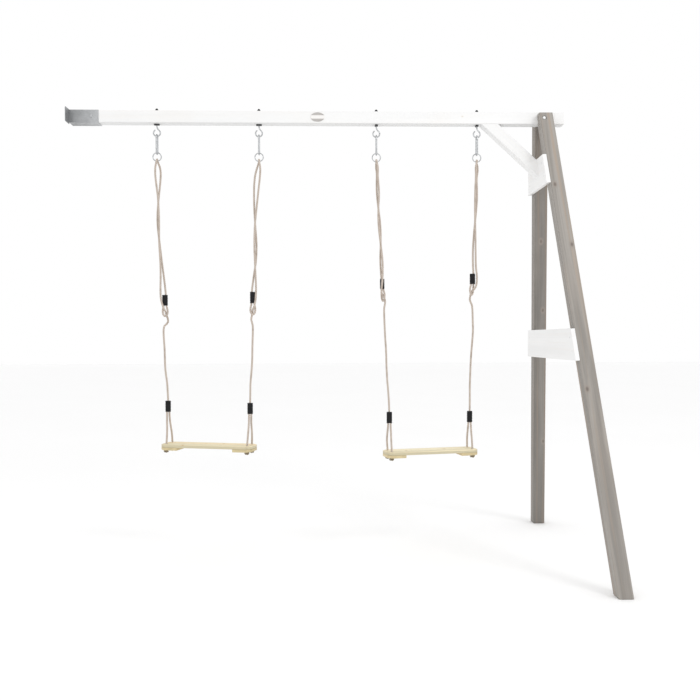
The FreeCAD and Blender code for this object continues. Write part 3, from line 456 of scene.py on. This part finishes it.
def shrunk_plastic(name, colour):
    """Satin black plastic, shrunk tight, with a fine grain."""
    finish = Finish(name)
    cloud = finish.noise(finish.place, 120.0, 3.0)
    grain = finish.noise(finish.place, 1500.0, 2.0)
    tone = finish.mix(finish.ramp(cloud, 0.4, 0.7), colour, shade(colour, 2.2))
    normal = finish.bump(grain, 0.2, 0.0003)
    return finish.surface(tone, finish.ramp(cloud, 0.3, 0.7, 0.4, 0.56), normal, specular=0.22)


def moulded_plate(name):
    """Grey moulded plate with a paler band across its middle."""
    finish = Finish(name)
    height = finish.node("ShaderNodeSeparateXYZ")
    finish.join(finish.place, height.inputs["Vector"])
    middle = finish.node("ShaderNodeMath", operation="ABSOLUTE")
    finish.join(height.outputs["Z"], middle.inputs[0])
    cloud = finish.noise(finish.place, 90.0, 3.0)
    tone = finish.mix(finish.ramp(cloud, 0.35, 0.7), (0.50, 0.475, 0.455), (0.42, 0.40, 0.385))
    tone = finish.mix(finish.ramp(middle.outputs["Value"], 0.0072, 0.0086, 1.0, 0.0), tone, (0.86, 0.84, 0.82))
    normal = finish.bump(finish.noise(finish.place, 1400.0, 2.0), 0.1, 0.0002)
    return finish.surface(tone, finish.ramp(cloud, 0.3, 0.7, 0.35, 0.48), normal)


def studio_floor(name):
    """Plain pale floor with a barely visible unevenness."""
    finish = Finish(name)
    cloud = finish.noise(finish.place, 0.8, 3.0)
    tone = finish.mix(cloud, (0.96, 0.96, 0.96), (0.98, 0.98, 0.98))
    normal = finish.bump(finish.noise(finish.place, 60.0, 2.0), 0.02, 0.001)
    return finish.surface(tone, finish.ramp(cloud, 0.3, 0.7, 0.75, 0.85), normal, specular=0.1)


# Mesh helpers

def new_piece(name, bm, material, body, nodes=()):
    """Mesh object from a bmesh, finished, riding on its body and standing for its nodes."""
    bmesh.ops.recalc_face_normals(bm, faces=bm.faces)
    mesh = bpy.data.meshes.new(name)
    bm.to_mesh(mesh)
    bm.free()
    piece = bpy.data.objects.new(name, mesh)
    bpy.context.scene.collection.objects.link(piece)
    mesh.materials.append(material)
    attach(piece, body)
    if nodes:
        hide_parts(*nodes)
    return piece


def smooth_copy(node, material, body, angle=38.0):
    """Smoothly shaded piece of a node's own shape, with its creases kept."""
    bm = bmesh.new()
    bm.from_mesh(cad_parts[node].data)
    bmesh.ops.remove_doubles(bm, verts=bm.verts, dist=1e-6)
    limit = math.radians(angle)
    for face in bm.faces:
        face.smooth = True
        face.material_index = 0
    for edge in bm.edges:
        edge.smooth = len(edge.link_faces) == 2 and edge.calc_face_angle() < limit
    piece = new_piece(node + "_finished", bm, material, body, (node,))
    even = piece.modifiers.new("Even shading", "WEIGHTED_NORMAL")
    even.keep_sharp = True
    return piece


def route_points(name, points):
    """Points along a rope's smooth line, no closer than a set step, read from its spline."""
    curve = bpy.data.curves.new(name, "CURVE")
    curve.dimensions = "3D"
    curve.resolution_u = 40
    spline = curve.splines.new("NURBS")
    spline.points.add(len(points) - 1)
    for control, place in zip(spline.points, points):
        control.co = (*place, 1.0)
    spline.order_u = 3
    spline.use_endpoint_u = True
    holder = bpy.data.objects.new(name, curve)
    mesh = bpy.data.meshes.new_from_object(holder)
    line = [mesh.vertices[0].co.copy()]
    for vertex in mesh.vertices[1:-1]:
        if (vertex.co - line[-1]).length >= LINE_STEP:
            line.append(vertex.co.copy())
    last = mesh.vertices[-1].co.copy()
    if len(line) > 1 and (last - line[-1]).length < LINE_STEP:
        line.pop()
    line.append(last)
    bpy.data.meshes.remove(mesh)
    bpy.data.objects.remove(holder)
    bpy.data.curves.remove(curve)
    return line


def line_frames(line, pitch):
    """One frame for each point of a line, with Z along it, turning once in each pitch."""
    frames = []
    side = (line[1] - line[0]).orthogonal().normalized()
    gone = 0.0
    for index, point in enumerate(line):
        way = (line[min(index + 1, len(line) - 1)] - line[max(index - 1, 0)]).normalized()
        side = (side - way * side.dot(way)).normalized()
        gone += (point - line[max(index - 1, 0)]).length
        axes = Matrix((side, way.cross(side), way)).transposed().to_4x4()
        frames.append(Matrix.Translation(point) @ axes @ Matrix.Rotation(math.tau * gone / pitch, 4, "Z"))
    return frames


def strand_section(radius, corners=24):
    """Turn, reach and crest height of each corner of the rope's three-lobed section."""
    section = []
    for index in range(corners):
        turn = math.tau * index / corners
        from_crest = (turn + math.pi / STRANDS) % (math.tau / STRANDS) - math.pi / STRANDS
        sunk = abs(from_crest * STRANDS / math.pi) ** 2.4
        section.append((turn, radius * (1 - 0.34 * sunk), 1 - sunk))
    return section


def carried(bm, section, frames, crest):
    """Closed section carried along a line of frames by extrusion, with both ends filled."""
    ring = []
    for turn, reach, height in section:
        vertex = bm.verts.new(frames[0] @ Vector((reach * math.cos(turn), reach * math.sin(turn), 0)))
        vertex[crest] = height
        ring.append(vertex)
    edges = [bm.edges.new((ring[index - 1], ring[index])) for index in range(len(ring))]
    bm.faces.new(ring)
    for before, after in zip(frames, frames[1:]):
        grown = bmesh.ops.extrude_edge_only(bm, edges=edges)["geom"]
        edges = [part for part in grown if isinstance(part, bmesh.types.BMEdge)
                 and len(part.link_faces) == 1]
        fresh = [part for part in grown if isinstance(part, bmesh.types.BMVert)]
        bmesh.ops.transform(bm, matrix=after @ before.inverted(), verts=fresh)
    bmesh.ops.holes_fill(bm, edges=edges, sides=len(ring))


def laid_rope(name, line, radius, body, node, material, pitch):
    """Three-strand rope along a line."""
    bm = bmesh.new()
    crest = bm.verts.layers.float.new("crest")
    carried(bm, strand_section(radius), line_frames(line, pitch), crest)
    for face in bm.faces:
        face.smooth = True
    return new_piece(name, bm, material, body, (node,))


def placed_route(key, points):
    """Route moved to its hook's place along the beam."""
    return [(HOOK_X[key] + x, y, z) for x, y, z in points]


def knot_ball(bm, centre, radius, turn, crest):
    """Overhand knot pulled tight: one rope round and through itself."""
    line = []
    size = radius * 0.235
    for index in range(97):
        way = math.tau * index / 96
        flat = Vector((math.sin(way) + 2 * math.sin(2 * way), math.cos(way) - 2 * math.cos(2 * way), 0)) * size
        height = -math.sin(3 * way) * radius * 0.3
        place = Vector((flat.x, flat.y, height))
        place.rotate(Matrix.Rotation(turn, 3, "Z"))
        line.append(centre + place)
    section = strand_section(radius * 0.4, 18)
    carried(bm, section, line_frames(line, radius * 1.6), crest)


def sleeve_shape(name, key, ends, turn, level, wrinkle, material, body, node):
    """Sleeve shrunk over two ropes: pinched oval section, faint rings and rolled-in ends."""
    top, bottom = (Vector((HOOK_X[key] + x, y, z)) for x, y, z in ends)
    way = (bottom - top).normalized()
    angle = math.radians(turn)
    side = Vector((math.cos(angle), math.sin(angle), 0))
    side = (side - way * side.dot(way)).normalized()
    axes = Matrix((side, way.cross(side), way)).transposed().to_4x4()
    length = (bottom - top).length
    section = []
    for index in range(40):
        around = math.tau * index / 40
        spread = 0.0057 * math.copysign(abs(math.cos(around)) ** 0.28, math.cos(around))
        waist = 0.0006 * (1 - abs(math.cos(around))) ** 2
        x = spread + 0.0074 * math.cos(around)
        y = (0.0077 - waist) * math.sin(around)
        section.append((math.atan2(y, x), math.hypot(x, y), 0.0))
    bm = bmesh.new()
    crest = bm.verts.layers.float.new("crest")
    frames = []
    steps = 60
    for index in range(steps + 1):
        part_way = index / steps
        from_end = min(part_way, 1 - part_way) * length
        lip = 0.97 + 0.03 * math.sqrt(min(1.0, from_end / 0.0016))
        ripple = 0.0
        for pitch, share in SLEEVE_WAVES:
            turns = part_way * length / pitch
            ripple += share * wrinkle * math.sin(turns * math.tau + level) / 0.0071
        scale = Matrix.Diagonal((lip + ripple, lip + ripple * 1.4, 1.0, 1.0))
        frames.append(Matrix.Translation(top + way * length * part_way) @ axes @ scale)
    carried(bm, section, frames, crest)
    for face in bm.faces:
        face.smooth = len(face.verts) == 4
    return new_piece(name, bm, material, body, (node,))


# Operators, one for each piece or group of like pieces

class SWINGSET_OT_beam(bpy.types.Operator):
    """Paint the beam white over its long grain"""

    bl_idname = "swing_set.beam"
    bl_label = "Beam"

    def execute(self, context):
        # The last argument paints shade on the beam's underside: it is darkened below the lower edge of the front
        # face.
        finish = timber_finish("white painted beam", colours().white_timber, (1, 0, 0), 0.02,
                               ((0.83, 0.81, 0.78), (0.72, 0.68, 0.62)), 0.3,
                               [((2.285, -0.029, 0.004), 0.006), ((1.86, -0.029, 0.006), 0.005)],
                               shaded_below=(-0.0275, 0.84))
        smooth_copy("beam", finish, "root", 50.0)
        return {"FINISHED"}


class SWINGSET_OT_boards(bpy.types.Operator):
    """Paint the cross boards and the corner brace white"""

    bl_idname = "swing_set.boards"
    bl_label = "Cross boards and brace"

    def execute(self, context):
        tint = ((0.84, 0.83, 0.81), (0.72, 0.69, 0.64))
        across = timber_finish("white painted cross boards", colours().white_timber, (0, 1, 0), 0.03, tint, 0.3)
        smooth_copy("upper_cross_board", across, "root", 50.0)
        smooth_copy("lower_cross_board", across, "root", 50.0)
        way = (math.cos(BRACE_ANGLE), 0, -math.sin(BRACE_ANGLE))
        slanting = timber_finish("white painted brace", colours().white_timber, way, 0.03, tint, 0.3)
        smooth_copy("corner_brace", slanting, "root", 50.0)
        return {"FINISHED"}


class SWINGSET_OT_legs(bpy.types.Operator):
    """Stain the two legs warm grey, with knots and streaks in the grain, the rear leg darker as painted shade"""

    bl_idname = "swing_set.legs"
    bl_label = "Legs"

    def execute(self, context):
        tint = ((0.30, 0.262, 0.23), (0.15, 0.122, 0.105))
        # The last number darkens each leg's stain; the rear leg's much lower value is painted shade, for the shade
        # it lies in behind the front leg.
        for side, node, tone in ((-1, "front_leg", 0.92), (1, "rear_leg", 0.64)):
            way = Vector((math.sin(LEG_LEAN), side * math.tan(LEG_SPLAY), -math.cos(LEG_LEAN))).normalized()
            top = Vector((2.2504, side * 0.0335, 0.029))
            knots = []
            for down, across, face in ((0.39, -0.014, side), (0.69, 0.018, side), (1.36, -0.02, side),
                                       (0.62, 0.0, -side), (0.98, 0.012, -side), (1.72, 0.02, -side)):
                centre = top + way * down + Vector((across, 0.031 * face, 0))
                knots.append((centre, 0.0115))
            stain = shade(colours().grey_timber, tone)
            finish = timber_finish(f"grey stained {node}", stain, way, 0.24, tint, 0.6, knots)
            smooth_copy(node, finish, "root", 50.0)
        return {"FINISHED"}


class SWINGSET_OT_shoe(bpy.types.Operator):
    """Galvanise the folded shoe and its screws"""

    bl_idname = "swing_set.shoe"
    bl_label = "Beam shoe"

    def execute(self, context):
        smooth_copy("beam_shoe", spangled_zinc("galvanised sheet", colours().steel), "root")
        smooth_copy("shoe_screws", wire_zinc("zinc shoe screws", colours().steel), "root")
        return {"FINISHED"}


class SWINGSET_OT_fasteners(bpy.types.Operator):
    """Finish the leg bolt, the frame screws and the fittings on the beam"""

    bl_idname = "swing_set.fasteners"
    bl_label = "Bolts, screws and fittings"

    def execute(self, context):
        bright = wire_zinc("bright zinc", (0.74, 0.74, 0.735))
        for node in ("leg_bolt", "leg_bolt_nut", "leg_bolt_washers", "hook_washers"):
            smooth_copy(node, bright, "root")
        smooth_copy("frame_screws", bright, "root")
        dark = black_coat("black coated fittings")
        smooth_copy("hook_cap_nuts", dark, "root")
        smooth_copy("hook_flanges", dark, "root")
        return {"FINISHED"}


class SWINGSET_OT_badge(bpy.types.Operator):
    """Add a blank oval plate with a raised rim"""

    bl_idname = "swing_set.badge"
    bl_label = "Oval plate"

    def execute(self, context):
        low, high = (Vector(corner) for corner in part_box("oval_badge"))
        middle = (low + high) / 2
        bm = bmesh.new()
        rim = bmesh.ops.create_circle(bm, cap_ends=True, segments=96, radius=1.0)
        bmesh.ops.scale(bm, vec=((high.x - low.x) / 2, (high.z - low.z) / 2, 1), verts=rim["verts"])
        face = bm.faces[:][0]
        raised = bmesh.ops.extrude_face_region(bm, geom=[face])["geom"]
        top = [part for part in raised if isinstance(part, bmesh.types.BMFace)]
        lifted = [part for part in raised if isinstance(part, bmesh.types.BMVert)]
        bmesh.ops.translate(bm, vec=(0, 0, 0.0022), verts=lifted)
        bmesh.ops.inset_region(bm, faces=top, thickness=0.0007, depth=0.0008)
        bmesh.ops.inset_region(bm, faces=top, thickness=0.0018, depth=0.0)
        bmesh.ops.inset_region(bm, faces=top, thickness=0.0008, depth=-0.001)
        bmesh.ops.rotate(bm, cent=(0, 0, 0), matrix=Matrix.Rotation(math.radians(90), 3, "X"), verts=bm.verts)
        bmesh.ops.translate(bm, vec=(middle.x, high.y, middle.z), verts=bm.verts)
        for edge in bm.edges:
            edge.smooth = True
        piece = new_piece("oval_plate", bm, moulded_plate("moulded plate"), "root", ("oval_badge",))
        soft = piece.modifiers.new("Soft edges", "BEVEL")
        soft.width = 0.0003
        soft.segments = 2
        return {"FINISHED"}


class SWINGSET_OT_hooks(bpy.types.Operator):
    """Plate the four swing hooks with zinc"""

    bl_idname = "swing_set.hooks"
    bl_label = "Swing hooks"

    def execute(self, context):
        zinc = wire_zinc("zinc hooks", colours().steel)
        for number in range(1, 5):
            smooth_copy(f"swing_hook_{number}", zinc, "root", 50.0)
        return {"FINISHED"}


class SWINGSET_OT_snap_hooks(bpy.types.Operator):
    """Plate the snap hooks, their gates and pins with zinc"""

    bl_idname = "swing_set.snap_hooks"
    bl_label = "Snap hooks"

    def execute(self, context):
        zinc = wire_zinc("zinc snap hooks", shade(colours().steel, 1.05))
        pins = wire_zinc("zinc pins", shade(colours().steel, 0.8), 0.1)
        for swing in SWINGS:
            for hand in ("left", "right"):
                line = f"{swing}_{hand}"
                smooth_copy(f"{line}_snap_hook", zinc, f"{swing}_snap_hooks", 50.0)
                smooth_copy(f"{line}_snap_gate", zinc, f"{line}_gate", 50.0)
            smooth_copy(f"{swing}_gate_pins", pins, f"{swing}_snap_hooks")
        return {"FINISHED"}


class SWINGSET_OT_rings(bpy.types.Operator):
    """Add the four welded rings, each with its weld bead"""

    bl_idname = "swing_set.rings"
    bl_label = "Rings"

    def execute(self, context):
        zinc = wire_zinc("zinc rings", colours().steel)
        for line in LINES:
            low, high = (Vector(corner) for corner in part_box(f"{line}_ring"))
            bm = bmesh.new()
            wire = bmesh.ops.create_circle(bm, segments=20, radius=RING_WIRE_R)
            bmesh.ops.translate(bm, vec=(RING_R, 0, 0), verts=wire["verts"])
            turned = Matrix.Rotation(math.radians(90), 3, "X")
            bmesh.ops.rotate(bm, cent=(RING_R, 0, 0), matrix=turned, verts=wire["verts"])
            bmesh.ops.spin(bm, geom=bm.verts[:] + bm.edges[:], cent=(0, 0, 0), axis=(0, 0, 1),
                           angle=math.tau, steps=96, use_merge=True)
            for vertex in bm.verts:
                from_weld = math.atan2(vertex.co.y, vertex.co.x)
                spine = Vector((vertex.co.x, vertex.co.y, 0)).normalized() * RING_R
                swell = 1 + 0.11 * math.exp(-(from_weld / 0.075) ** 2)
                vertex.co = spine + (vertex.co - spine) * swell
            bmesh.ops.rotate(bm, cent=(0, 0, 0), matrix=Matrix.Rotation(math.radians(90), 3, "X"), verts=bm.verts)
            bmesh.ops.translate(bm, vec=(low + high) / 2, verts=bm.verts)
            for face in bm.faces:
                face.smooth = True
            swing = line.rsplit("_", 1)[0]
            new_piece(f"{line}_welded_ring", bm, zinc, f"{swing}_ropes", (f"{line}_ring",))
        return {"FINISHED"}


class SWINGSET_OT_ropes(bpy.types.Operator):
    """Lay the four main ropes of three strands each"""

    bl_idname = "swing_set.ropes"
    bl_label = "Ropes"

    def execute(self, context):
        yarn = rope_yarn("rope yarn", colours().rope)
        for key, route in ROPE_ROUTES.items():
            points = placed_route(key, route)
            line = route_points(key, points)
            swing = key.rsplit("_", 1)[0]
            piece = laid_rope(f"{key}_laid_rope", line, sizes().rope_diameter / 2, f"{swing}_ropes",
                              f"{key}_rope", yarn, sizes().lay_pitch)
        return {"FINISHED"}


class SWINGSET_OT_seat_ropes(bpy.types.Operator):
    """Lay the four seat ropes and tie a stopper knot at each of their ends"""

    bl_idname = "swing_set.seat_ropes"
    bl_label = "Seat ropes and knots"

    def execute(self, context):
        yarn = rope_yarn("seat rope yarn", colours().rope)
        # The knots take the rope yarn much darker: painted shade for their place under the seat.
        dark = rope_yarn("knot yarn in painted shade", (0.20, 0.17, 0.12))
        for key, route in SEAT_ROPE_ROUTES.items():
            points = placed_route(key, route)
            line = route_points(key, points)
            swing = key.rsplit("_", 1)[0]
            bm = bmesh.new()
            crest = bm.verts.layers.float.new("crest")
            for number, end in enumerate((points[0], points[-1])):
                centre = Vector(end) + Vector((0, 0, 0.003))
                knot_ball(bm, centre, sizes().knot_radius, 0.7 + 1.9 * number, crest)
            for face in bm.faces:
                face.smooth = True
            knots = new_piece(f"{key}_stopper_knots", bm, dark, f"{swing}_seat", (f"{swing}_knots",))
            piece = laid_rope(f"{key}_laid_seat_rope", line, sizes().rope_diameter / 2, f"{swing}_seat",
                              f"{key}_seat_rope", yarn, sizes().lay_pitch)
        return {"FINISHED"}


class SWINGSET_OT_sleeves(bpy.types.Operator):
    """Shrink the eight black sleeves over the ropes"""

    bl_idname = "swing_set.sleeves"
    bl_label = "Sleeves"

    def execute(self, context):
        plastic = shrunk_plastic("shrunk black plastic", colours().sleeve)
        for place, table, body in (("upper", UPPER_SLEEVES, "ropes"), ("lower", LOWER_SLEEVES, "seat")):
            for level, (key, (top, bottom, turn)) in enumerate(table.items()):
                swing = key.rsplit("_", 1)[0]
                sleeve_shape(f"{key}_{place}_shrunk_sleeve", key, (top, bottom), turn, level,
                             sizes().sleeve_wrinkle, plastic, f"{swing}_{body}", f"{key}_{place}_sleeve")
        return {"FINISHED"}


class SWINGSET_OT_seats(bpy.types.Operator):
    """Finish the two pine seats, their cleats and screws"""

    bl_idname = "swing_set.seats"
    bl_label = "Seats"

    def execute(self, context):
        tint = ((0.72, 0.56, 0.33), (0.42, 0.26, 0.13))
        screws = wire_zinc("zinc seat screws", colours().steel)
        for swing in SWINGS:
            turn = SEAT_TURNS[swing]
            low, high = (Vector(corner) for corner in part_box(f"{swing}_seat_board"))
            middle = (low + high) / 2
            knots = [(middle + Vector((0.07, 0.02, 0.0075)), 0.008),
                     (middle + Vector((-0.12, -0.03, 0.0075)), 0.006)]
            lengthwise = (math.cos(turn), math.sin(turn), 0)
            across = (-math.sin(turn), math.cos(turn), 0)
            # The last argument paints shade on the board's edges and underside: below 3 mm under its top it is
            # darkened.
            board = timber_finish(f"{swing} sanded pine", colours().seat_pine, lengthwise, 0.17, tint, 0.4, knots,
                                  shaded_below=(high.z - 0.003, 0.7))
            cleat = timber_finish(f"{swing} cleat pine", colours().sawn_pine, across, 0.13, tint, 0.35)
            smooth_copy(f"{swing}_seat_board", board, f"{swing}_seat", 50.0)
            smooth_copy(f"{swing}_seat_cleats", cleat, f"{swing}_seat", 50.0)
            smooth_copy(f"{swing}_seat_screws", screws, f"{swing}_seat")
        return {"FINISHED"}


class SWINGSET_OT_stage(bpy.types.Operator):
    """Set the floor, the soft lights and the camera"""

    bl_idname = "swing_set.stage"
    bl_label = "Stage"

    def execute(self, context):
        low, high = (Vector(corner) for corner in CAD_BOX)
        bm = bmesh.new()
        bmesh.ops.create_grid(bm, x_segments=1, y_segments=1, size=sizes().floor_size / 2)
        bmesh.ops.translate(bm, vec=((low.x + high.x) / 2, 0, low.z), verts=bm.verts)
        mesh = bpy.data.meshes.new("floor")
        bm.to_mesh(mesh)
        bm.free()
        mesh.materials.append(studio_floor("studio floor"))
        floor = bpy.data.objects.new("floor", mesh)
        context.scene.collection.objects.link(floor)

        world = bpy.data.worlds.new("studio")
        world.use_nodes = True
        world.node_tree.nodes["Background"].inputs["Color"].default_value = (1.0, 1.0, 1.0, 1.0)
        world.node_tree.nodes["Background"].inputs["Strength"].default_value = 1.0
        context.scene.world = world
        context.scene.view_settings.view_transform = "Standard"

        for name, place, energy, size in (("key", (5.0, -4.0, 2.6), 62.0, 1.6),
                                          ("fill", (-2.0, -4.6, 3.6), 8.0, 3.0)):
            lamp = bpy.data.lights.new(name, "AREA")
            lamp.energy = energy
            lamp.size = size
            holder = bpy.data.objects.new(name, lamp)
            way = Vector((1.25, 0, -0.9)) - Vector(place)
            holder.matrix_world = Matrix.Translation(place) @ way.to_track_quat("-Z", "Y").to_matrix().to_4x4()
            context.scene.collection.objects.link(holder)

        yaw, pitch, roll = 0.0293, -0.0145, -0.0033
        ahead = Vector((math.sin(yaw) * math.cos(pitch), math.cos(yaw) * math.cos(pitch), math.sin(pitch)))
        right = Vector((math.cos(yaw), -math.sin(yaw), 0))
        up = right.cross(ahead)
        level_right = right * math.cos(roll) + up * math.sin(roll)
        level_up = up * math.cos(roll) - right * math.sin(roll)
        lens = bpy.data.cameras.new("camera")
        lens.sensor_width = 36.0
        lens.lens = 41.14
        lens.clip_end = 200.0
        camera = bpy.data.objects.new("camera", lens)
        axes = Matrix((level_right, level_up, -ahead)).transposed().to_4x4()
        camera.matrix_world = Matrix.Translation((1.2077, -3.8457, -1.0515)) @ axes
        context.scene.collection.objects.link(camera)
        context.scene.camera = camera
        return {"FINISHED"}


STEPS = (
    SWINGSET_OT_beam,
    SWINGSET_OT_boards,
    SWINGSET_OT_legs,
    SWINGSET_OT_shoe,
    SWINGSET_OT_fasteners,
    SWINGSET_OT_badge,
    SWINGSET_OT_hooks,
    SWINGSET_OT_snap_hooks,
    SWINGSET_OT_rings,
    SWINGSET_OT_ropes,
    SWINGSET_OT_seat_ropes,
    SWINGSET_OT_sleeves,
    SWINGSET_OT_seats,
    SWINGSET_OT_stage,
)


class VIEW3D_PT_swing_set(bpy.types.Panel):
    """Swing set pieces in the 3D view's sidebar"""

    bl_label = "Swing set"
    bl_space_type = "VIEW_3D"
    bl_region_type = "UI"
    bl_category = "Swing set"

    def draw(self, context):
        for group in (context.scene.swing_set_sizes, context.scene.swing_set_colours):
            box = self.layout.box()
            for key in group.__annotations__:
                box.prop(group, key)
        for step in STEPS:
            self.layout.operator(step.bl_idname)


CLASSES = (SwingSetSizes, SwingSetColours, *STEPS, VIEW3D_PT_swing_set)


def register():
    for item in CLASSES:
        bpy.utils.register_class(item)
    bpy.types.Scene.swing_set_sizes = bpy.props.PointerProperty(type=SwingSetSizes)
    bpy.types.Scene.swing_set_colours = bpy.props.PointerProperty(type=SwingSetColours)


def unregister():
    del bpy.types.Scene.swing_set_colours
    del bpy.types.Scene.swing_set_sizes
    for item in reversed(CLASSES):
        bpy.utils.unregister_class(item)


def main():
    register()
    for step in STEPS:
        group, call = step.bl_idname.split(".")
        getattr(getattr(bpy.ops, group), call)()


if __name__ == "__main__":
    main()
